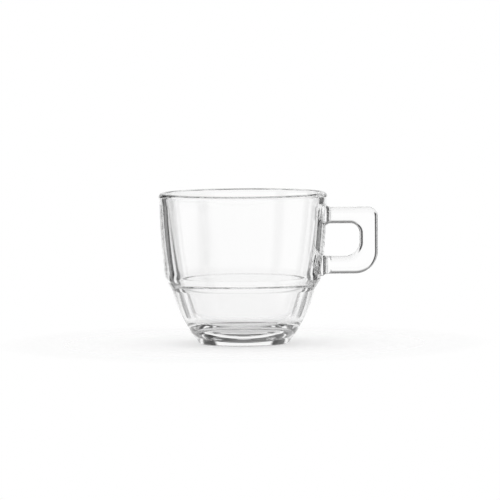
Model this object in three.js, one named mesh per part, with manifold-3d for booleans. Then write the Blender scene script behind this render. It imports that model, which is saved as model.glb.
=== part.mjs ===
// Espresso glass: a small clear cup of pressed glass with a stepped bowl, a thick dished base and a
// D handle. The bowl is one turned outline, split where its forming zones meet. Millimetres, +Z up.
import * as THREE from 'three';
import { mergeVertices } from 'three/addons/utils/BufferGeometryUtils.js';
import Module from 'manifold-3d';

// Foot: the ring that the glass stands on and the shallow recess inside it
const FOOT_DIAMETER = 34;
const FOOT_ROUND = 1.3;
const FOOT_RING = 1.7;
const RECESS_DEPTH = 1.0;
const RECESS_SLOPE = 0.6;
const RECESS_ROUND = 0.8;

// Lower wall, from the foot to the step under the shoulder
const STEP_HEIGHT = 20.9;
const STEP_DIAMETER = 55;
const STEP_ROUND = 1.5;
const LOWER_BULGE = 1.3;

// Upper wall, from the shoulder to the neck under the rim
const SHOULDER_RISE = 4.7;
const SHOULDER_DIAMETER = 60.5;
const SHOULDER_ROUND = 4;
const UPPER_BULGE = 0.35;

// Rim: a soft bead round the mouth
const CUP_HEIGHT = 58.5;
const RIM_DIAMETER = 65.4;
const RIM_WIDTH = 3;
const RIM_CREST = 1.5;
const RIM_SHOULDER = 1.3;
const RIM_ROUND = 1.0;
const BEAD_HEIGHT = 4.5;
const BEAD_PROUD = 0.4;
const NECK_ROUND = 3;

// Inside: walls measured straight in from the outside, the stacking ledge and the dished floor
const NECK_WALL = 2.95;
const INNER_BULGE = 0.45;
const SHOULDER_WALL = 4.65;
const LEDGE_RISE = 3;
const LEDGE_WIDTH = 1.6;
const LEDGE_FALL = 0.3;
const LEDGE_ROUND = 0.6;
const LOWER_INNER_BULGE = 0.3;
const FLOOR_THICKNESS = 3.9;
const FLOOR_DISH = 2.8;
const FLOOR_RADIUS = 17.8;
const FLOOR_ROUND = 11;

// The base ends at a level plane this far above the middle of the floor
const BASE_RISE = 4.1;

// Handle: a pressed plate in the XZ plane, its outline and window, with rounded edges
const HANDLE_REACH = 19.4;
const HANDLE_DROP = 5.8;
const HANDLE_HEIGHT = 25.9;
const HANDLE_WIDTH = 8;
const TOP_ARM = 6.4;
const GRIP = 7.2;
const LOWER_ARM = 6.9;
const GRIP_TOP_ROUND = 3.6;
const GRIP_LOW_ROUND = 12;
const WINDOW_TOP_ROUND = 3.5;
const WINDOW_LOW_ROUND = 7.3;
const EDGE_ROUND = 2.5;
const ROOT_DEPTH = 3;
const ROOT_CLEARANCE = 0.3;

// Fineness of the facets
const TURN_STEPS = 60;
const BULGE_STEPS = 6;
const CORNER_STEP = Math.PI / 8;
const HANDLE_CURVE_STEPS = 8;
const EDGE_STEPS = 3;
const LEAST_SPACING = 0.01;

// A fillet takes at most this share of a side, and a rounded edge this share of its arm
const SIDE_SHARE = 0.48;
const EDGE_SHARE = 0.42;

const point = (x, y) => new THREE.Vector2(x, y);

// Points of one side of an outline, standing off its chord by bulge, to the right of its way
function sidePoints(from, to, bulge) {
  if (bulge === 0) return [from, to];
  const chord = to.clone().sub(from);
  const right = point(chord.y, -chord.x).normalize();
  const points = [];
  for (let step = 0; step <= BULGE_STEPS; step += 1) {
    const share = step / BULGE_STEPS;
    const offset = 4 * bulge * share * (1 - share);
    points.push(from.clone().addScaledVector(chord, share).addScaledVector(right, offset));
  }
  return points;
}

function lineLength(points) {
  let total = 0;
  for (let k = 1; k < points.length; k += 1) total += points[k].distanceTo(points[k - 1]);
  return total;
}

// The place at a distance along a line: the spot, the way on from there and the points that remain
function walk(points, distance) {
  let left = distance;
  for (let k = 1; k < points.length; k += 1) {
    const span = points[k].distanceTo(points[k - 1]);
    if (left < span) {
      const spot = points[k - 1].clone().lerp(points[k], left / span);
      return { spot, rest: points.slice(k), way: points[k].clone().sub(points[k - 1]).normalize() };
    }
    left -= span;
  }
  throw new Error('The fillet is longer than its side');
}

// An outline through corners {at, fillet, bulge}: each corner is rounded, each side after it may bulge
function roundedOutline(corners) {
  const sides = [];
  for (let k = 1; k < corners.length; k += 1) {
    sides.push(sidePoints(corners[k - 1].at, corners[k].at, corners[k - 1].bulge ?? 0));
  }
  let done = sides[0];
  for (let k = 1; k < sides.length; k += 1) {
    const fillet = corners[k].fillet ?? 0;
    if (fillet === 0) {
      done = done.concat(sides[k].slice(1));
      continue;
    }
    const corner = corners[k].at;
    const back = done.slice().reverse();
    const inWay = back[1].clone().sub(corner).normalize();
    const outWay = sides[k][1].clone().sub(corner).normalize();
    const halfAngle = Math.acos(THREE.MathUtils.clamp(inWay.dot(outWay), -1, 1)) / 2;
    const room = SIDE_SHARE * Math.min(lineLength(sides[k - 1]), lineLength(sides[k]));
    const tangent = Math.min(fillet / Math.tan(halfAngle), room);
    const radius = tangent * Math.tan(halfAngle);
    const turn = Math.PI - 2 * halfAngle;
    const handle = (4 / 3) * Math.tan(turn / 4) * radius;
    const start = walk(back, tangent);
    const end = walk(sides[k], tangent);
    const arc = new THREE.CubicBezierCurve(
      start.spot,
      start.spot.clone().addScaledVector(start.way, -handle),
      end.spot.clone().addScaledVector(end.way, -handle),
      end.spot,
    );
    const arcPoints = arc.getPoints(Math.max(2, Math.ceil(turn / CORNER_STEP)));
    done = start.rest.reverse().concat(arcPoints, end.rest);
  }
  return done;
}

// The part of a closed outline on one side of a level plane
function clipAtLevel(outline, level, keepAbove) {
  const kept = [];
  const inside = (p) => (keepAbove ? p.y >= level : p.y <= level);
  outline.forEach((here, k) => {
    const next = outline[(k + 1) % outline.length];
    if (inside(here)) kept.push(here);
    if (inside(here) !== inside(next) && here.y !== level && next.y !== level) {
      const crossing = here.clone().lerp(next, (level - here.y) / (next.y - here.y));
      kept.push(point(crossing.x, level));
    }
  });
  return kept;
}

// A turned solid about the Z axis from a closed outline of (radius, height) points
function turned(outline) {
  const closed = outline[0].x === 0 ? outline : outline.concat([outline[0]]);
  return new THREE.LatheGeometry(closed, TURN_STEPS).rotateX(Math.PI / 2);
}

// Radii and levels that the pieces share
const rimRadius = RIM_DIAMETER / 2;
const rimMiddle = rimRadius - RIM_WIDTH / 2;
const footRadius = FOOT_DIAMETER / 2;
const recessRadius = footRadius - FOOT_RING;
const stepRadius = STEP_DIAMETER / 2;
const shoulderRadius = SHOULDER_DIAMETER / 2;
const shoulderHeight = STEP_HEIGHT + SHOULDER_RISE;
const neckRadius = rimRadius - BEAD_PROUD;
const neckHeight = CUP_HEIGHT - BEAD_HEIGHT;
const ledgeRadius = shoulderRadius - SHOULDER_WALL;
const ledgeHeight = STEP_HEIGHT + LEDGE_RISE;
const floorHeight = RECESS_DEPTH + FLOOR_THICKNESS;
const baseTop = floorHeight + BASE_RISE;

// A dish as deep as FLOOR_DISH is a parabola that runs level on the axis: half of it hangs this far
// below its own chord
const dishBulge = FLOOR_DISH / 4;

const outsideCorners = [
  { at: point(0, RECESS_DEPTH) },
  { at: point(recessRadius - RECESS_SLOPE, RECESS_DEPTH), fillet: RECESS_ROUND },
  { at: point(recessRadius, 0) },
  { at: point(footRadius, 0), fillet: FOOT_ROUND, bulge: LOWER_BULGE },
  { at: point(stepRadius, STEP_HEIGHT), fillet: STEP_ROUND },
  { at: point(shoulderRadius, shoulderHeight), fillet: SHOULDER_ROUND, bulge: UPPER_BULGE },
  { at: point(neckRadius, neckHeight), fillet: NECK_ROUND },
  { at: point(rimRadius, CUP_HEIGHT - RIM_SHOULDER), fillet: RIM_ROUND },
  { at: point(rimMiddle + RIM_CREST / 2, CUP_HEIGHT), fillet: RIM_ROUND },
];
const insideCorners = [
  { at: point(rimMiddle - RIM_CREST / 2, CUP_HEIGHT), fillet: RIM_ROUND },
  { at: point(rimRadius - RIM_WIDTH, CUP_HEIGHT - RIM_SHOULDER), fillet: RIM_ROUND },
  { at: point(neckRadius - NECK_WALL, neckHeight), fillet: NECK_ROUND, bulge: -INNER_BULGE },
  { at: point(ledgeRadius, ledgeHeight + LEDGE_FALL), fillet: LEDGE_ROUND },
  { at: point(ledgeRadius - LEDGE_WIDTH, ledgeHeight), fillet: LEDGE_ROUND, bulge: -LOWER_INNER_BULGE },
  { at: point(FLOOR_RADIUS, floorHeight + FLOOR_DISH), fillet: FLOOR_ROUND, bulge: -dishBulge },
  { at: point(0, floorHeight) },
];
const glassOutline = roundedOutline(outsideCorners.concat(insideCorners));

// Three zones of the bowl, meeting face to face at level planes
const upperOutline = clipAtLevel(glassOutline, STEP_HEIGHT, true);
const lowerOutline = clipAtLevel(clipAtLevel(glassOutline, STEP_HEIGHT, false), baseTop, true);
const baseOutline = clipAtLevel(glassOutline, baseTop, false);

// The widest radius of the glass, and the outside radius at any height above the foot
const outside = roundedOutline(outsideCorners);
const widest = Math.max(...outside.map((p) => p.x));
function outsideRadius(height) {
  for (let k = outside.length - 1; k > 0; k -= 1) {
    const low = outside[k - 1];
    const high = outside[k];
    if (low.y <= height && height < high.y) {
      return THREE.MathUtils.mapLinear(height, low.y, high.y, low.x, high.x);
    }
  }
  return widest;
}

// A round corner on the right of the handle, its centre to the left and rise times the radius higher
function roundCorner(shape, right, level, radius, rise, from, to) {
  shape.absarc(right - radius, level + rise * radius, radius, from, to, to < from);
}

// Outline of the handle: a C whose two arms run on into the wall of the bowl
function handleShape() {
  const top = CUP_HEIGHT - HANDLE_DROP;
  const bottom = top - HANDLE_HEIGHT;
  const right = widest + HANDLE_REACH;
  const windowTop = top - TOP_ARM;
  const windowBottom = bottom + LOWER_ARM;
  const windowRight = right - GRIP;
  const rootEnd = Math.min(...[top, windowTop, windowBottom, bottom].map(outsideRadius)) - ROOT_DEPTH;
  const quarter = Math.PI / 2;
  const shape = new THREE.Shape();
  shape.moveTo(rootEnd, top);
  shape.lineTo(rootEnd, windowTop);
  roundCorner(shape, windowRight, windowTop, WINDOW_TOP_ROUND, -1, quarter, 0);
  roundCorner(shape, windowRight, windowBottom, WINDOW_LOW_ROUND, 1, 0, -quarter);
  shape.lineTo(rootEnd, windowBottom);
  shape.lineTo(rootEnd, bottom);
  roundCorner(shape, right, bottom, GRIP_LOW_ROUND, 1, -quarter, 0);
  roundCorner(shape, right, top, GRIP_TOP_ROUND, -1, 0, quarter);
  shape.closePath();
  const spaced = [];
  shape.getPoints(HANDLE_CURVE_STEPS).forEach((p) => {
    if (spaced.every((other) => other.distanceTo(p) > LEAST_SPACING)) spaced.push(p);
  });
  return new THREE.Shape(spaced);
}

const wasm = await Module();
wasm.setup();

// A solid from a closed geometry: shared vertices merged, triangles that close up on the axis left out
function toSolid(geometry) {
  const bare = geometry.clone();
  bare.deleteAttribute('normal');
  bare.deleteAttribute('uv');
  const merged = mergeVertices(bare);
  const corners = [];
  for (let k = 0; k < merged.index.count; k += 3) {
    const [a, b, c] = merged.index.array.slice(k, k + 3);
    if (a !== b && b !== c && c !== a) corners.push(a, b, c);
  }
  const vertProperties = new Float32Array(merged.attributes.position.array);
  const triVerts = new Uint32Array(corners);
  return new wasm.Manifold(new wasm.Mesh({ numProp: 3, vertProperties, triVerts }));
}

function toGeometry(solid) {
  const mesh = solid.getMesh();
  const geometry = new THREE.BufferGeometry();
  geometry.setAttribute('position', new THREE.BufferAttribute(mesh.vertProperties, mesh.numProp));
  geometry.setIndex(new THREE.BufferAttribute(mesh.triVerts, 1));
  geometry.computeVertexNormals();
  return geometry;
}

// The handle plate with rounded edges, its roots cut back to the wall of the bowl
function handleGeometry() {
  const thinnest = Math.min(TOP_ARM, GRIP, LOWER_ARM, HANDLE_WIDTH, 2 * GRIP_TOP_ROUND);
  const edge = Math.min(EDGE_ROUND, EDGE_SHARE * thinnest);
  const depth = HANDLE_WIDTH - 2 * edge;
  const plate = new THREE.ExtrudeGeometry(handleShape(), {
    depth,
    bevelThickness: edge,
    bevelSize: edge,
    bevelOffset: -edge,
    bevelSegments: EDGE_STEPS,
  });
  plate.translate(0, 0, -depth / 2);
  plate.rotateX(Math.PI / 2);
  const grown = outside.map((p) => (p.x === 0 ? p : point(p.x + ROOT_CLEARANCE, p.y)));
  const wallSpace = turned(grown.concat([point(0, CUP_HEIGHT)]));
  return toGeometry(toSolid(plate).subtract(toSolid(wallSpace)));
}

// Clear soda-lime glass, a shade of grey-green in the thick parts
function clearGlass() {
  return new THREE.MeshStandardMaterial({
    color: 0xeef2f0,
    roughness: 0.03,
    metalness: 0,
    transparent: true,
    opacity: 0.35,
  });
}

function piece(name, geometry) {
  const mesh = new THREE.Mesh(geometry, clearGlass());
  mesh.name = name;
  return mesh;
}

// The origin is on the table under the middle of the whole glass, handle included
const espressoGlass = new THREE.Group();
espressoGlass.position.x = -HANDLE_REACH / 2;
espressoGlass.add(piece('upper_bowl', turned(upperOutline)));
espressoGlass.add(piece('lower_bowl', turned(lowerOutline)));
espressoGlass.add(piece('base', turned(baseOutline)));
espressoGlass.add(piece('handle', handleGeometry()));

export default espressoGlass;
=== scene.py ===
"""Espresso glass: a small clear cup of pressed glass with a D handle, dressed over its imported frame.

The bowl is one turned outline, spun in three zones that meet at level planes. The handle is a pressed
plate with rounded edges and flared roots. Where two zones run into each other the real glass has no
surface, so the faces there bend no light. All sizes are in millimetres until they reach Blender.
"""
import logging
import math
from collections.abc import Callable, Iterable, Mapping, Sequence
from dataclasses import dataclass, field
from enum import Enum
from typing import Any

import bpy
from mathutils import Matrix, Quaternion, Vector


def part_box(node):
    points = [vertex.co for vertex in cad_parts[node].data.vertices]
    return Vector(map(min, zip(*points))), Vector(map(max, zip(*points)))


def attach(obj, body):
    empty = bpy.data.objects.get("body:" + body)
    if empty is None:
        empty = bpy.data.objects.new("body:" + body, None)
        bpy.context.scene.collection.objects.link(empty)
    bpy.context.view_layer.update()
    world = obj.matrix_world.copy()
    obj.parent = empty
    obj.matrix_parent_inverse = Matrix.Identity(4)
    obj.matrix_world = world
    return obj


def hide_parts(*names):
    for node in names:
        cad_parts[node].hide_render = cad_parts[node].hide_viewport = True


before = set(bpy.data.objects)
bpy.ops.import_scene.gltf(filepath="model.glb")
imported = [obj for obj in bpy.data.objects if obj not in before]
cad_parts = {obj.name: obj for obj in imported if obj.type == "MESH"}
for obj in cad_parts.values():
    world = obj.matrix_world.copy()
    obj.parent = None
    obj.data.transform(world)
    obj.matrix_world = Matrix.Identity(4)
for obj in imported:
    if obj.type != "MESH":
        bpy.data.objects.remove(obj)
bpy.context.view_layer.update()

LOG = logging.getLogger("espresso_glass")
MM = 0.001
BODY = "root"

# Longest step along a side, longest step and turn in a fillet, and the share of a side that a fillet may take
SIDE_STEP = 0.6
FILLET_STEP = 0.25
FILLET_TURN = 6.0
SIDE_SHARE = 0.48

# Vertices closer than this, in metres, are one, and edges sharper than this many degrees stay sharp
MERGE_DISTANCE = 2e-6
SHARP_ANGLE = 40.0


class Zone(Enum):
    """The forming zones of the glass, named as the frame's nodes."""

    UPPER_BOWL = "upper_bowl"
    LOWER_BOWL = "lower_bowl"
    BASE = "base"
    HANDLE = "handle"


class Skin(Enum):
    """Places of the two finishes in a glass piece's material list."""

    POLISHED = 0
    FUSED = 1


def srgb(code: str) -> tuple[float, float, float, float]:
    """Turns an sRGB hex colour into Blender's linear colour.

    Args:
        code: Six hex digits after a hash sign.

    Returns:
        Linear red, green and blue, with full alpha.
    """
    parts = [int(code[k:k + 2], 16) / 255 for k in (1, 3, 5)]
    linear = [c / 12.92 if c <= 0.04045 else ((c + 0.055) / 1.055) ** 2.4 for c in parts]
    return (linear[0], linear[1], linear[2], 1.0)


def add_node(
    tree: bpy.types.NodeTree, kind: str, inputs: Mapping[Any, Any] | None = None, **settings: Any
) -> bpy.types.Node:
    """Adds a node with its settings, and fills or links its inputs.

    Args:
        tree: The node tree that gets the node.
        kind: Blender's name for the kind of node.
        inputs: Values or other nodes' output sockets, by input name or number.
        **settings: The node's own properties.

    Returns:
        The new node.
    """
    node = tree.nodes.new(kind)
    for name, value in settings.items():
        setattr(node, name, value)
    for key, value in (inputs or {}).items():
        if isinstance(value, bpy.types.NodeSocket):
            tree.links.new(value, node.inputs[key])
        else:
            node.inputs[key].default_value = value
    return node


# Outline geometry

@dataclass(frozen=True)
class Corner:
    """A corner of an outline: its place, its fillet and the bulge of the side that follows it."""

    across: float
    height: float
    fillet: float = 0.0
    bulge: float = 0.0

    @property
    def at(self) -> Vector:
        """The corner's place."""
        return Vector((self.across, self.height))


def bulged_side(start: Vector, end: Vector, bulge: float, step: float) -> list[Vector]:
    """Points of one side of an outline, standing off its chord to the right of its way.

    Args:
        start: First end of the side.
        end: Last end of the side.
        bulge: How far the middle of the side stands off the chord.
        step: Longest distance between points.

    Returns:
        Points from start to end, both included.
    """
    chord = end - start
    right = Vector((chord.y, -chord.x)).normalized()
    count = max(2, math.ceil(chord.length / step))
    shares = [k / count for k in range(count + 1)]
    return [start + chord * s + right * (4 * bulge * s * (1 - s)) for s in shares]


def walk_along(points: Sequence[Vector], distance: float) -> tuple[Vector, Vector, list[Vector]]:
    """Finds the place at a distance along a line.

    Args:
        points: The line.
        distance: How far to walk from its first point.

    Returns:
        The spot, the way on from there and the points that remain.
    """
    left = distance
    for k, (here, there) in enumerate(zip(points, points[1:])):
        span = (there - here).length
        if left < span:
            way = (there - here).normalized()
            return here + way * left, way, list(points[k + 1:])
        left -= span
    raise ValueError("the fillet is longer than its side")


def fillet_arc(
    start: Vector, start_way: Vector, end: Vector, end_way: Vector, radius: float, turn: float
) -> list[Vector]:
    """Points of a fillet between two places whose ways lead away from the corner.

    Args:
        start: Where the fillet begins.
        start_way: The way from there back along the first side.
        end: Where the fillet ends.
        end_way: The way from there on along the second side.
        radius: The fillet's radius.
        turn: How far the outline turns in the fillet, in radians.

    Returns:
        Points from start to end, both included.
    """
    pull = 4 / 3 * math.tan(turn / 4) * radius
    first = start - start_way * pull
    second = end - end_way * pull
    count = max(4, math.ceil(turn * radius / FILLET_STEP), math.ceil(math.degrees(turn) / FILLET_TURN))
    arc = []
    for k in range(count + 1):
        s = k / count
        a, b, c, d = (1 - s) ** 3, 3 * s * (1 - s) ** 2, 3 * s * s * (1 - s), s ** 3
        arc.append(start * a + first * b + second * c + end * d)
    return arc


def rounded_outline(corners: Sequence[Corner]) -> list[Vector]:
    """Draws an outline through corners, with each corner rounded and each side bulged as it says.

    Args:
        corners: The corners in order.

    Returns:
        The outline's points.
    """
    sides = [bulged_side(a.at, b.at, a.bulge, SIDE_STEP) for a, b in zip(corners, corners[1:])]
    lengths = [sum((q - p).length for p, q in zip(side, side[1:])) for side in sides]
    done = sides[0]
    for k, corner in enumerate(corners[1:-1], start=1):
        if corner.fillet == 0:
            done = done + sides[k][1:]
            continue
        back = done[::-1]
        half_angle = (back[1] - corner.at).angle(sides[k][1] - corner.at) / 2
        room = SIDE_SHARE * min(lengths[k - 1], lengths[k])
        tangent = min(corner.fillet / math.tan(half_angle), room)
        radius = tangent * math.tan(half_angle)
        start, start_way, before = walk_along(back, tangent)
        end, end_way, after = walk_along(sides[k], tangent)
        arc = fillet_arc(start, start_way, end, end_way, radius, math.pi - 2 * half_angle)
        done = before[::-1] + arc + after
    return done


def clip_at_level(outline: Sequence[Vector], level: float, keep_above: bool) -> list[Vector]:
    """Keeps the part of a closed outline on one side of a level plane.

    Args:
        outline: The closed outline's points.
        level: Height of the plane.
        keep_above: Whether the part above the plane is kept.

    Returns:
        The kept outline, closed along the plane.
    """
    def inside(p: Vector) -> bool:
        """Whether a point is kept."""
        return p.y >= level if keep_above else p.y <= level

    kept = []
    for here, there in zip(outline, list(outline[1:]) + [outline[0]]):
        if inside(here):
            kept.append(here)
        if inside(here) != inside(there) and level not in (here.y, there.y):
            share = (level - here.y) / (there.y - here.y)
            kept.append(Vector((here.x + (there.x - here.x) * share, level)))
    return kept


# Modelling by operators

def deselect() -> None:
    """Leaves object mode and deselects every object."""
    if bpy.context.object and bpy.context.object.mode != "OBJECT":
        bpy.ops.object.mode_set(mode="OBJECT")
    bpy.ops.object.select_all(action="DESELECT")


def activate(*pieces: bpy.types.Object) -> None:
    """Selects objects alone, the first of them active."""
    deselect()
    for piece in pieces:
        piece.select_set(True)
    bpy.context.view_layer.objects.active = pieces[0]


def edit(piece: bpy.types.Object, mode: str = "VERT") -> None:
    """Opens a piece in edit mode with one kind of element to select."""
    activate(piece)
    bpy.ops.object.mode_set(mode="EDIT")
    bpy.ops.mesh.select_mode(type=mode)


def draw_line(name: str, points: Sequence[Vector]) -> bpy.types.Object:
    """Draws a line of edges by extruding one vertex from point to point.

    Args:
        name: The new object's name.
        points: Places in metres.

    Returns:
        The object, still in edit mode with all its vertices selected.
    """
    deselect()
    bpy.ops.mesh.primitive_plane_add(size=MM)
    piece = bpy.context.object
    piece.name = piece.data.name = name
    edit(piece)
    bpy.ops.mesh.select_all(action="SELECT")
    bpy.ops.mesh.merge(type="CENTER")
    bpy.ops.transform.translate(value=points[0])
    for here, there in zip(points, points[1:]):
        bpy.ops.mesh.extrude_region_move(TRANSFORM_OT_translate={"value": there - here})
    bpy.ops.mesh.select_all(action="SELECT")
    return piece


def turn_solid(name: str, outline: Sequence[Vector], axis_x: float, steps: int) -> bpy.types.Object:
    """Spins a closed outline round the upright axis of the bowl.

    Args:
        name: The new object's name.
        outline: Radius and height of each point, in millimetres.
        axis_x: Place of the axis along X, in metres.
        steps: Steps in a full turn.

    Returns:
        The closed, smooth solid.
    """
    closed = list(outline) if outline[0].x == 0 else list(outline) + [outline[0]]
    piece = draw_line(name, [Vector((axis_x + p.x * MM, 0, p.y * MM)) for p in closed])
    bpy.ops.mesh.spin(steps=steps, angle=math.tau, center=(axis_x, 0, 0), axis=(0, 0, 1))
    close_up(piece)
    return piece


def close_up(piece: bpy.types.Object) -> None:
    """Merges doubled vertices and turns all faces outwards.

    Args:
        piece: The mesh to mend.
    """
    edit(piece)
    bpy.ops.mesh.select_all(action="SELECT")
    bpy.ops.mesh.remove_doubles(threshold=MERGE_DISTANCE)
    bpy.ops.mesh.normals_make_consistent(inside=False)
    bpy.ops.object.mode_set(mode="OBJECT")


def select_where(piece: bpy.types.Object, kind: str, test: Callable[[Any], bool]) -> None:
    """Selects the elements of a mesh that pass a test, and nothing else.

    Args:
        piece: The object, in edit mode with this kind of element to select.
        kind: The mesh's list to search: vertices, edges or polygons.
        test: Says of an element whether it is selected.
    """
    bpy.ops.mesh.select_all(action="DESELECT")
    bpy.ops.object.mode_set(mode="OBJECT")
    for element in getattr(piece.data, kind):
        if test(element):
            element.select = True
    bpy.ops.object.mode_set(mode="EDIT")


def use_modifier(piece: bpy.types.Object, kind: str, **settings: Any) -> None:
    """Adds a modifier with its settings and applies it.

    Args:
        piece: The object to change.
        kind: Blender's name for the modifier.
        **settings: The modifier's own properties.
    """
    activate(piece)
    modifier = piece.modifiers.new(kind.lower(), kind)
    for name, value in settings.items():
        setattr(modifier, name, value)
    bpy.ops.object.modifier_apply(modifier=modifier.name)


def remove(piece: bpy.types.Object) -> None:
    """Deletes a helper object and its mesh."""
    mesh = piece.data
    bpy.data.objects.remove(piece)
    bpy.data.meshes.remove(mesh)


def dress(piece: bpy.types.Object, zones: Iterable[Zone]) -> None:
    """Ties a finished piece to the frame.

    Args:
        piece: The finished object.
        zones: The nodes that it stands for.
    """
    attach(piece, BODY)
    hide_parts(*[zone.value for zone in zones])
    LOG.info("%s: %d faces", piece.name, len(piece.data.polygons))


# Finishes

# Fire-polishing melts the mould's grain away: mirror-clear faces, dark edges, and a faint unevenness in reflections
@dataclass(frozen=True)
class PressedGlass:
    """Soda-lime glass, pressed in a mould and fire-polished: clear, with a faint slow waviness."""

    name: str = "soda_lime_glass_pressed_fire_polished"
    tint: str = "#fefefe"
    ior: float = 1.52
    roughness_low: float = 0.0
    roughness_high: float = 0.012
    haze_mm: float = 18.0
    wave_mm: float = 9.0
    wave_height_mm: float = 0.0012

    def make(self) -> bpy.types.Material:
        """Makes the material.

        Returns:
            Glass whose roughness and waviness come from noise at real sizes.
        """
        material = bpy.data.materials.new(self.name)
        material.use_nodes = True
        tree = material.node_tree
        tree.nodes.clear()
        place = add_node(tree, "ShaderNodeTexCoord").outputs["Object"]
        haze = add_node(tree, "ShaderNodeTexNoise", {"Vector": place, "Scale": 1 / (self.haze_mm * MM)})
        rough = add_node(
            tree,
            "ShaderNodeMapRange",
            {
                "Value": haze.outputs["Fac"],
                "To Min": self.roughness_low,
                "To Max": self.roughness_high,
            },
        )
        wave = add_node(tree, "ShaderNodeTexNoise", {"Vector": place, "Scale": 1 / (self.wave_mm * MM)})
        bump = add_node(
            tree,
            "ShaderNodeBump",
            {"Height": wave.outputs["Fac"], "Strength": 1.0, "Distance": self.wave_height_mm * MM},
        )
        glass = add_node(
            tree,
            "ShaderNodeBsdfPrincipled",
            {
                "Base Color": srgb(self.tint),
                "Transmission Weight": 1.0,
                "IOR": self.ior,
                "Roughness": rough.outputs["Result"],
                "Normal": bump.outputs["Normal"],
            },
        )
        add_node(tree, "ShaderNodeOutputMaterial", {"Surface": glass.outputs["BSDF"]})
        return material


# One melt fills the mould: the eye finds no line where base, walls and handle meet
@dataclass(frozen=True)
class FusedGlass:
    """The place where one zone of glass runs into the next: no surface, so light goes straight on."""

    name: str = "soda_lime_glass_fused_seam"
    ior: float = 1.0

    def make(self) -> bpy.types.Material:
        """Makes the material.

        Returns:
            Clear transmission that neither bends nor mirrors light.
        """
        material = bpy.data.materials.new(self.name)
        material.use_nodes = True
        tree = material.node_tree
        tree.nodes.clear()
        glass = add_node(
            tree,
            "ShaderNodeBsdfPrincipled",
            {
                "Base Color": srgb("#ffffff"),
                "Transmission Weight": 1.0,
                "IOR": self.ior,
                "Roughness": 0.0,
                "Alpha": 0.0,
            },
        )
        add_node(tree, "ShaderNodeOutputMaterial", {"Surface": glass.outputs["BSDF"]})
        return material


# Uncoated paper scatters light evenly: no gloss, only the soft shadow of the glass
@dataclass(frozen=True)
class StudioPaper:
    """Matt white paper: it keeps the glass's shadow, and shows as white to the eye and through glass."""

    name: str = "studio_paper_matt_white"
    tint: str = "#dadada"
    lift: float = 0.33
    full_radius: float = 20.0
    edge_radius: float = 100.0

    def make(self) -> bpy.types.Material:
        """Makes the material.

        Returns:
            Diffuse paper that is lifted to white for camera, glossy and transmission rays, and thins out
            to its edge for every ray.
        """
        material = bpy.data.materials.new(self.name)
        material.use_nodes = True
        tree = material.node_tree
        tree.nodes.clear()
        paper = add_node(tree, "ShaderNodeBsdfDiffuse", {"Color": srgb(self.tint)})
        ray = add_node(tree, "ShaderNodeLightPath").outputs
        glass = {0: ray["Is Glossy Ray"], 1: ray["Is Transmission Ray"]}
        through = add_node(tree, "ShaderNodeMath", glass, operation="MAXIMUM")
        eye = {0: ray["Is Camera Ray"], 1: through.outputs[0]}
        seen = add_node(tree, "ShaderNodeMath", eye, operation="MAXIMUM")
        lift = {0: seen.outputs[0], 1: self.lift}
        strength = add_node(tree, "ShaderNodeMath", lift, operation="MULTIPLY")
        glow = add_node(tree, "ShaderNodeEmission", {"Strength": strength.outputs[0]})
        both = add_node(tree, "ShaderNodeAddShader", {0: paper.outputs[0], 1: glow.outputs[0]})
        place = add_node(tree, "ShaderNodeTexCoord").outputs["Object"]
        reach = add_node(tree, "ShaderNodeVectorMath", {0: place}, operation="LENGTH").outputs["Value"]
        spans = {"Value": reach, "From Min": self.full_radius * MM, "From Max": self.edge_radius * MM}
        thin = add_node(tree, "ShaderNodeMapRange", spans, interpolation_type="SMOOTHSTEP")
        clear = add_node(tree, "ShaderNodeBsdfTransparent")
        layers = {0: thin.outputs["Result"], 1: both.outputs[0], 2: clear.outputs[0]}
        sheet = add_node(tree, "ShaderNodeMixShader", layers)
        add_node(tree, "ShaderNodeOutputMaterial", {"Surface": sheet.outputs[0]})
        return material


# The glass

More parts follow.
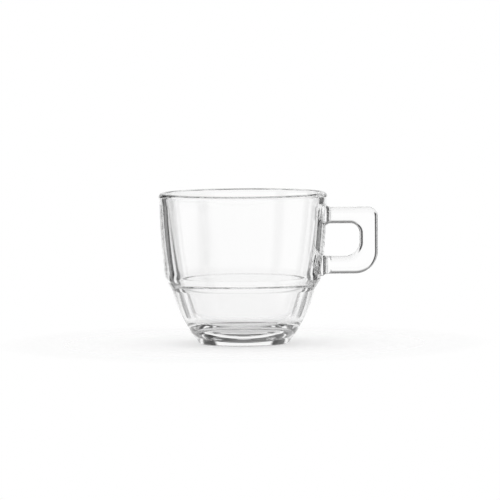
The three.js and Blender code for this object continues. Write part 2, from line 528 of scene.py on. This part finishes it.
@dataclass
class Bowl:
    """The turned bowl: rim, upper wall, shoulder, lower wall, dished base and foot ring."""

    cup_height: float = 58.5
    foot_radius: float = 17.0
    foot_round: float = 1.3
    foot_ring: float = 1.7
    recess_depth: float = 1.0
    recess_slope: float = 0.6
    recess_round: float = 0.8
    step_height: float = 20.9
    step_radius: float = 27.5
    step_round: float = 1.5
    lower_bulge: float = 1.3
    shoulder_rise: float = 4.7
    shoulder_radius: float = 30.25
    shoulder_round: float = 4.0
    upper_bulge: float = 0.35
    rim_radius: float = 32.7
    rim_width: float = 3.0
    rim_crest: float = 1.5
    rim_shoulder: float = 1.3
    rim_round: float = 1.0
    bead_height: float = 4.5
    bead_proud: float = 0.4
    neck_round: float = 3.0
    neck_wall: float = 2.95
    inner_bulge: float = 0.45
    shoulder_wall: float = 4.65
    ledge_rise: float = 3.0
    ledge_width: float = 1.6
    ledge_fall: float = 0.3
    ledge_round: float = 0.6
    lower_inner_bulge: float = 0.3
    floor_thickness: float = 3.9
    floor_dish: float = 2.8
    floor_radius: float = 17.8
    floor_round: float = 11.0
    base_rise: float = 4.1
    turn_steps: int = 256
    axis_x: float = field(init=False)
    zones: dict[Zone, bpy.types.Object] = field(init=False, default_factory=dict)

    def __post_init__(self) -> None:
        """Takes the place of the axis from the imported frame."""
        low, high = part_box(Zone.UPPER_BOWL.value)
        self.axis_x = (low[0] + high[0]) / 2

    @property
    def floor_height(self) -> float:
        """Height of the middle of the floor above the table."""
        return self.recess_depth + self.floor_thickness

    @property
    def base_top(self) -> float:
        """Height of the plane between base and lower bowl."""
        return self.floor_height + self.base_rise

    def outside(self) -> list[Corner]:
        """Corners of the underside and outside, from the axis to the crest of the rim."""
        recess = self.foot_radius - self.foot_ring
        neck = self.rim_radius - self.bead_proud
        crest = self.rim_radius - (self.rim_width - self.rim_crest) / 2
        return [
            Corner(0, self.recess_depth),
            Corner(recess - self.recess_slope, self.recess_depth, self.recess_round),
            Corner(recess, 0),
            Corner(self.foot_radius, 0, self.foot_round, self.lower_bulge),
            Corner(self.step_radius, self.step_height, self.step_round),
            Corner(
                self.shoulder_radius, self.step_height + self.shoulder_rise,
                self.shoulder_round, self.upper_bulge,
            ),
            Corner(neck, self.cup_height - self.bead_height, self.neck_round),
            Corner(self.rim_radius, self.cup_height - self.rim_shoulder, self.rim_round),
            Corner(crest, self.cup_height, self.rim_round),
        ]

    def inside(self) -> list[Corner]:
        """Corners of the inside, from the crest of the rim to the axis."""
        neck = self.rim_radius - self.bead_proud - self.neck_wall
        mouth = self.rim_radius - self.rim_width
        crest = mouth + (self.rim_width - self.rim_crest) / 2
        ledge = self.shoulder_radius - self.shoulder_wall
        ledge_height = self.step_height + self.ledge_rise
        return [
            Corner(crest, self.cup_height, self.rim_round),
            Corner(mouth, self.cup_height - self.rim_shoulder, self.rim_round),
            Corner(neck, self.cup_height - self.bead_height, self.neck_round, -self.inner_bulge),
            Corner(ledge, ledge_height + self.ledge_fall, self.ledge_round),
            Corner(ledge - self.ledge_width, ledge_height, self.ledge_round, -self.lower_inner_bulge),
            Corner(
                self.floor_radius, self.floor_height + self.floor_dish,
                self.floor_round, -self.floor_dish / 4,
            ),
            Corner(0, self.floor_height),
        ]

    def outside_radius(self, height: float) -> float:
        """Radius of the outside at a height above the foot.

        Args:
            height: Height in millimetres.

        Returns:
            The radius in millimetres.
        """
        line = rounded_outline(self.outside())
        for low, high in zip(line[::-1][1:], line[::-1]):
            if low.y <= height < high.y:
                return low.x + (high.x - low.x) * (height - low.y) / (high.y - low.y)
        return self.rim_radius

    def build(self) -> None:
        """Spins the three zones of the bowl."""
        outline = rounded_outline(self.outside() + self.inside())
        below = clip_at_level(outline, self.step_height, False)
        lines = {
            Zone.UPPER_BOWL: clip_at_level(outline, self.step_height, True),
            Zone.LOWER_BOWL: clip_at_level(below, self.base_top, True),
            Zone.BASE: clip_at_level(outline, self.base_top, False),
        }
        for zone, line in lines.items():
            name = f"glass_{zone.value}"
            self.zones[zone] = turn_solid(name, line, self.axis_x, self.turn_steps)

    def core(self) -> bpy.types.Object:
        """Spins the bowl's outside as a filled solid, to cut the handle's roots with."""
        line = rounded_outline(self.outside())
        return turn_solid("bowl_core", line + [Vector((0, self.cup_height))], self.axis_x, self.turn_steps)

    def finish(self, polished: bpy.types.Material, fused: bpy.types.Material) -> None:
        """Gives the zones their finish, with the level planes between them as fused glass.

        Args:
            polished: Finish of the outer surfaces.
            fused: Finish of the faces between zones.
        """
        planes = (self.step_height * MM, self.base_top * MM)
        for zone, piece in self.zones.items():
            if not piece.data.materials:
                piece.data.materials.append(polished)
                piece.data.materials.append(fused)
            for face in piece.data.polygons:
                level = min(abs(face.center.z - plane) for plane in planes)
                if level < MERGE_DISTANCE and abs(face.normal.z) > 0.99:
                    face.material_index = Skin.FUSED.value
            activate(piece)
            bpy.ops.object.shade_smooth_by_angle(angle=math.radians(SHARP_ANGLE))
            dress(piece, [zone])


@dataclass
class Handle:
    """The D handle: a pressed plate with oval edges, flared where its two arms run into the bowl."""

    bowl: Bowl
    drop: float = 5.8
    height: float = 25.9
    reach: float = 19.4
    width: float = 8.0
    top_arm: float = 6.4
    grip: float = 7.2
    lower_arm: float = 6.9
    grip_top_round: float = 3.6
    grip_low_round: float = 12.0
    window_top_round: float = 3.5
    window_low_round: float = 7.3
    edge_depth: float = 2.5
    edge_share: float = 0.9
    edge_steps: int = 10
    flare_length: float = 2.6
    flare_height: float = 0.8
    flare_width: float = 1.8
    flare_steps: int = 6
    root_depth: float = 1.2
    piece: bpy.types.Object = field(init=False)

    @property
    def top(self) -> float:
        """Height of the handle's upper edge."""
        return self.bowl.cup_height - self.drop

    @property
    def bottom(self) -> float:
        """Height of the handle's lower edge."""
        return self.top - self.height

    @property
    def arms(self) -> list[tuple[float, float]]:
        """Middle height and thickness of the two arms."""
        return [
            (self.top - self.top_arm / 2, self.top_arm),
            (self.bottom + self.lower_arm / 2, self.lower_arm),
        ]

    def arm_end(self, middle: float) -> float:
        """Distance from the axis at which an arm starts to flare."""
        return self.bowl.outside_radius(middle) + self.flare_length

    def outline(self) -> list[Vector]:
        """Points of the C outline, from the root of the upper arm round the window and back."""
        right = self.bowl.rim_radius + self.reach
        window_right = right - self.grip
        window_top = self.top - self.top_arm
        window_bottom = self.bottom + self.lower_arm
        upper_end, lower_end = (self.arm_end(middle) for middle, _ in self.arms)
        corners = [
            Corner(upper_end, window_top),
            Corner(window_right, window_top, self.window_top_round),
            Corner(window_right, window_bottom, self.window_low_round),
            Corner(lower_end, window_bottom),
            Corner(lower_end, self.bottom),
            Corner(right, self.bottom, self.grip_low_round),
            Corner(right, self.top, self.grip_top_round),
            Corner(upper_end, self.top),
        ]
        return rounded_outline(corners)

    def build(self) -> None:
        """Presses the plate, rounds its edges and flares its roots into the wall."""
        plate_half = self.edge_depth / self.edge_share
        axis = Vector((self.bowl.axis_x, -plate_half * MM, 0))
        line = [axis + Vector((p.x * MM, 0, p.y * MM)) for p in self.outline()]
        self.piece = draw_line("glass_handle", line)
        bpy.ops.mesh.edge_face_add()
        bpy.ops.mesh.extrude_region_move(TRANSFORM_OT_translate={"value": (0, 2 * plate_half * MM, 0)})
        bpy.ops.mesh.select_all(action="SELECT")
        bpy.ops.mesh.normals_make_consistent(inside=False)
        self.round_edges(plate_half)
        for middle, thickness in self.arms:
            self.flare(middle, thickness)
        close_up(self.piece)

    def round_edges(self, plate_half: float) -> None:
        """Rounds the plate's long edges, then widens it so that they become oval.

        Args:
            plate_half: Half the plate's thickness before it is widened.
        """
        mesh = self.piece.data
        ends = [self.bowl.axis_x + self.arm_end(middle) * MM for middle, _ in self.arms]

        def on_rim(edge: bpy.types.MeshEdge) -> bool:
            """Whether an edge runs along a side of the plate and not across the end of an arm."""
            a, b = (mesh.vertices[v].co for v in edge.vertices)
            across = abs(a.y - b.y) > MERGE_DISTANCE
            at_end = any(max(abs(a.x - x), abs(b.x - x)) < MERGE_DISTANCE for x in ends)
            return not across and not at_end

        edit(self.piece, "EDGE")
        select_where(self.piece, "edges", on_rim)
        bpy.ops.mesh.bevel(
            offset=self.edge_depth * MM, segments=self.edge_steps, affect="EDGES", clamp_overlap=False,
        )
        bpy.ops.mesh.select_all(action="SELECT")
        bpy.ops.transform.resize(
            value=(1, self.width / 2 / plate_half, 1), center_override=(0, 0, 0),
        )

    def flare(self, middle: float, thickness: float) -> None:
        """Widens the end of an arm in steps and carries it into the wall.

        Args:
            middle: Middle height of the arm.
            thickness: Thickness of the arm.
        """
        end = self.bowl.axis_x + self.arm_end(middle) * MM
        centre = Vector((0, 0, middle * MM))
        edit(self.piece, "FACE")
        select_where(
            self.piece, "polygons",
            lambda face: face.normal.x < -0.99 and abs(face.center.x - end) < MERGE_DISTANCE
            and abs(face.center.z - centre.z) < thickness * MM,
        )
        size = Vector((self.width / 2, thickness / 2))
        growth = Vector((self.flare_width, self.flare_height))
        grown = size
        for step in range(1, self.flare_steps + 1):
            share = step / self.flare_steps
            target = size + growth * (1 - math.sqrt(1 - share * share))
            ratio = [new / old for new, old in zip(target, grown)]
            bpy.ops.mesh.extrude_region_move(
                TRANSFORM_OT_translate={"value": (-self.flare_length / self.flare_steps * MM, 0, 0)},
            )
            bpy.ops.transform.resize(value=(1, *ratio), center_override=centre)
            grown = target
        bpy.ops.mesh.extrude_region_move(
            TRANSFORM_OT_translate={"value": (-self.root_depth * MM, 0, 0)},
        )

    def fuse(self, polished: bpy.types.Material, fused: bpy.types.Material) -> None:
        """Trims the roots to the wall and marks the wall under them as fused glass.

        Args:
            polished: Finish of the outer surfaces.
            fused: Finish of the faces between handle and bowl.
        """
        wall = self.bowl.zones[Zone.UPPER_BOWL]
        for piece in (self.piece, wall):
            piece.data.materials.append(polished)
            piece.data.materials.append(fused)
        stamp = self.piece.copy()
        stamp.data = self.piece.data.copy()
        bpy.context.collection.objects.link(stamp)
        core = self.bowl.core()
        core.data.materials.append(fused)
        use_modifier(
            self.piece, "BOOLEAN", operation="DIFFERENCE", solver="EXACT", object=core,
            material_mode="TRANSFER",
        )
        remove(core)
        self.imprint(wall, stamp)

    def imprint(self, wall: bpy.types.Object, stamp: bpy.types.Object) -> None:
        """Cuts the outline of the roots into the wall and gives the faces inside it the fused finish.

        Args:
            wall: The upper bowl.
            stamp: The handle before its roots were trimmed. It is used up.
        """
        probe = stamp.copy()
        probe.data = stamp.data.copy()
        bpy.context.collection.objects.link(probe)
        wall_faces = len(wall.data.polygons)
        marker = len(wall.data.materials)
        for face in stamp.data.polygons:
            face.material_index = 0
        stamp.data.materials.clear()
        mark = bpy.data.materials.new("root_stamp")
        stamp.data.materials.append(mark)
        activate(wall, stamp)
        bpy.ops.object.join()
        edit(wall, "FACE")
        select_where(wall, "polygons", lambda face: face.index >= wall_faces)
        bpy.ops.mesh.intersect(
            mode="SELECT_UNSELECT", separate_mode="CUT", threshold=0, solver="EXACT",
        )
        select_where(wall, "polygons", lambda face: face.material_index == marker)
        bpy.ops.mesh.delete(type="FACE")
        bpy.ops.object.mode_set(mode="OBJECT")
        wall.data.materials.pop(index=marker)
        bpy.data.materials.remove(mark)
        close_up(wall)
        bpy.context.view_layer.update()
        low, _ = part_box(Zone.HANDLE.value)
        for face in wall.data.polygons:
            if face.center.x < low[0] - self.root_depth * MM or abs(face.center.y) > self.width * MM:
                continue
            hit, spot, normal, _ = probe.closest_point_on_mesh(face.center)
            if hit and (face.center - spot).dot(normal) < 0:
                face.material_index = Skin.FUSED.value
        remove(probe)

    def finish(self) -> None:
        """Smooths the handle and ties it to the frame."""
        activate(self.piece)
        bpy.ops.object.shade_smooth_by_angle(angle=math.radians(SHARP_ANGLE))
        use_modifier(self.piece, "WEIGHTED_NORMAL", keep_sharp=True)
        dress(self.piece, [Zone.HANDLE])


# Studio

@dataclass(frozen=True)
class Flag:
    """A dark card beside the set, out of the picture: the glass shows it as the dark of its edges.

    Azimuth 0 is straight behind the glass as the photograph sees it, and 90 is on the handle's side.
    Low and high are degrees above the horizon.
    """

    azimuth: float
    half_width: float
    low: float
    high: float
    shade: float = 0.97
    soft: float = 3.0
    soft_rise: float = 3.0


def flagged(
    tree: bpy.types.NodeTree, flags: Sequence[Flag], place: bpy.types.NodeSocket, level: bpy.types.NodeSocket
) -> bpy.types.NodeSocket:
    """Adds the nodes that darken what lies behind the flags.

    Args:
        tree: Node tree of the surround.
        flags: The dark cards.
        place: Direction from the glass.
        level: Rise above the horizon in degrees.

    Returns:
        The share of light that is left.
    """
    x, y, _ = add_node(tree, "ShaderNodeSeparateXYZ", {0: place}).outputs
    angle = add_node(tree, "ShaderNodeMath", {0: x, 1: y}, operation="ARCTAN2")
    turn = add_node(tree, "ShaderNodeMath", {0: angle.outputs[0]}, operation="DEGREES")
    left: Any = 1.0
    for flag in flags:
        off = add_node(tree, "ShaderNodeMath", {0: turn.outputs[0], 1: flag.azimuth}, operation="SUBTRACT")
        near = add_node(tree, "ShaderNodeMath", {0: off.outputs[0], 1: 180, 2: -180}, operation="WRAP")
        apart = add_node(tree, "ShaderNodeMath", {0: near.outputs[0]}, operation="ABSOLUTE")
        edges = (
            (apart.outputs[0], flag.half_width, flag.soft),
            (level, flag.high, flag.soft_rise),
            (level, flag.low, -flag.soft_rise),
        )
        cover: Any = 1.0
        for value, edge, soft in edges:
            spans = {"Value": value, "From Min": edge + soft, "From Max": edge - soft}
            fade = add_node(tree, "ShaderNodeMapRange", spans)
            part = {0: cover, 1: fade.outputs["Result"]}
            cover = add_node(tree, "ShaderNodeMath", part, operation="MULTIPLY").outputs[0]
        dim = add_node(tree, "ShaderNodeMath", {0: cover, 1: -flag.shade, 2: 1.0}, operation="MULTIPLY_ADD")
        left = add_node(tree, "ShaderNodeMath", {0: left, 1: dim.outputs[0]}, operation="MULTIPLY").outputs[0]
    return left


@dataclass
class Studio:
    """A round of white paper and a white surround with dark cards in it, the same for eye and glass."""

    axis_x: float
    paper_gap: float = 0.03
    sky_flags: tuple[Flag, ...] = (
        Flag(31.5, 9, -20, 24, soft=1.5),
        Flag(53, 4.5, -20, 24, soft=1.5),
        Flag(-31.5, 9, -20, 24, soft=1.5),
        Flag(-58, 9, -20, 24, soft=1.5),
        Flag(-121, 9, -20, 24, 0.8, 3),
        Flag(92, 40, 4, 95, 0.95, 8),
        Flag(173, 44, 4, 95, 0.25, 8),
        Flag(0, 200, 22, 95, 0.85, soft_rise=8),
    )

    def paper(self) -> None:
        """Lays the paper that the glass stands on."""
        deselect()
        paper = StudioPaper()
        bpy.ops.mesh.primitive_circle_add(
            vertices=128, radius=paper.edge_radius * MM, fill_type="NGON",
            location=(self.axis_x, 0, -self.paper_gap * MM),
        )
        sheet = bpy.context.object
        sheet.name = "studio_paper"
        sheet.data.materials.append(paper.make())

    def surround(self) -> None:
        """Sets the white surround and its dark cards, alike for eye and glass, with plain light on the paper."""
        world = bpy.data.worlds.new("studio_surround")
        bpy.context.scene.world = world
        world.use_nodes = True
        tree = world.node_tree
        tree.nodes.clear()
        way = add_node(tree, "ShaderNodeTexCoord").outputs["Generated"]
        z = add_node(tree, "ShaderNodeSeparateXYZ", {0: way}).outputs[2]
        angle = add_node(tree, "ShaderNodeMath", {0: z}, operation="ARCSINE")
        rise = add_node(tree, "ShaderNodeMath", {0: angle.outputs[0]}, operation="DEGREES").outputs[0]
        bounced = add_node(tree, "ShaderNodeLightPath").outputs["Diffuse Depth"]
        plain = add_node(tree, "ShaderNodeMath", {0: bounced, 1: 0.5}, operation="GREATER_THAN")
        share = {0: plain.outputs[0], 1: flagged(tree, self.sky_flags, way, rise)}
        light = add_node(tree, "ShaderNodeMath", share, operation="MAXIMUM")
        sky = add_node(tree, "ShaderNodeBackground", {"Color": light.outputs[0]})
        add_node(tree, "ShaderNodeOutputWorld", {"Surface": sky.outputs[0]})

    def build(self) -> None:
        """Sets the whole studio."""
        self.paper()
        self.surround()
        bpy.context.scene.view_settings.view_transform = "Standard"


@dataclass
class PhotoCamera:
    """The camera at the photograph's viewing angle: far away, a little above the rim."""

    axis_x: float
    rim_height: float = 58.5
    distance: float = 2400.0
    rise_per_distance: float = 0.0535
    aim_right: float = 2.6
    aim_height: float = 36.2
    frame_width: float = 193.4
    roll: float = -0.45
    sensor: float = 36.0

    def build(self) -> bpy.types.Object:
        """Adds the camera and makes it the scene's own.

        Returns:
            The camera.
        """
        across = self.axis_x + self.aim_right * MM
        deselect()
        bpy.ops.object.camera_add()
        camera = bpy.context.object
        camera.name = "photo_camera"
        rise = self.rim_height + self.rise_per_distance * self.distance
        camera.location = (across, -self.distance * MM, rise * MM)
        sight = Vector((across, 0, self.aim_height * MM)) - camera.location
        camera.rotation_mode = "QUATERNION"
        turn = Quaternion((0, 0, 1), math.radians(self.roll))
        camera.rotation_quaternion = sight.to_track_quat("-Z", "Y") @ turn
        camera.data.sensor_width = self.sensor
        camera.data.lens = self.sensor * sight.length / (self.frame_width * MM)
        camera.data.clip_end = 100.0
        bpy.context.scene.camera = camera
        return camera


def deepen_light_paths(bounces: int = 32) -> None:
    """Lets light pass all the walls of the glass before a path ends."""
    cycles = bpy.context.scene.cycles
    cycles.max_bounces = bounces
    cycles.glossy_bounces = bounces
    cycles.transmission_bounces = bounces
    cycles.transparent_max_bounces = 2 * bounces


def main() -> None:
    """Builds the glass, its studio and its camera."""
    logging.basicConfig(level=logging.INFO, format="%(name)s: %(message)s")
    polished = PressedGlass().make()
    fused = FusedGlass().make()
    bowl = Bowl()
    PhotoCamera(bowl.axis_x).build()
    bowl.build()
    handle = Handle(bowl)
    handle.build()
    handle.fuse(polished, fused)
    bowl.finish(polished, fused)
    handle.finish()
    Studio(bowl.axis_x).build()
    deepen_light_paths()
    deselect()


if __name__ == "__main__":
    main()
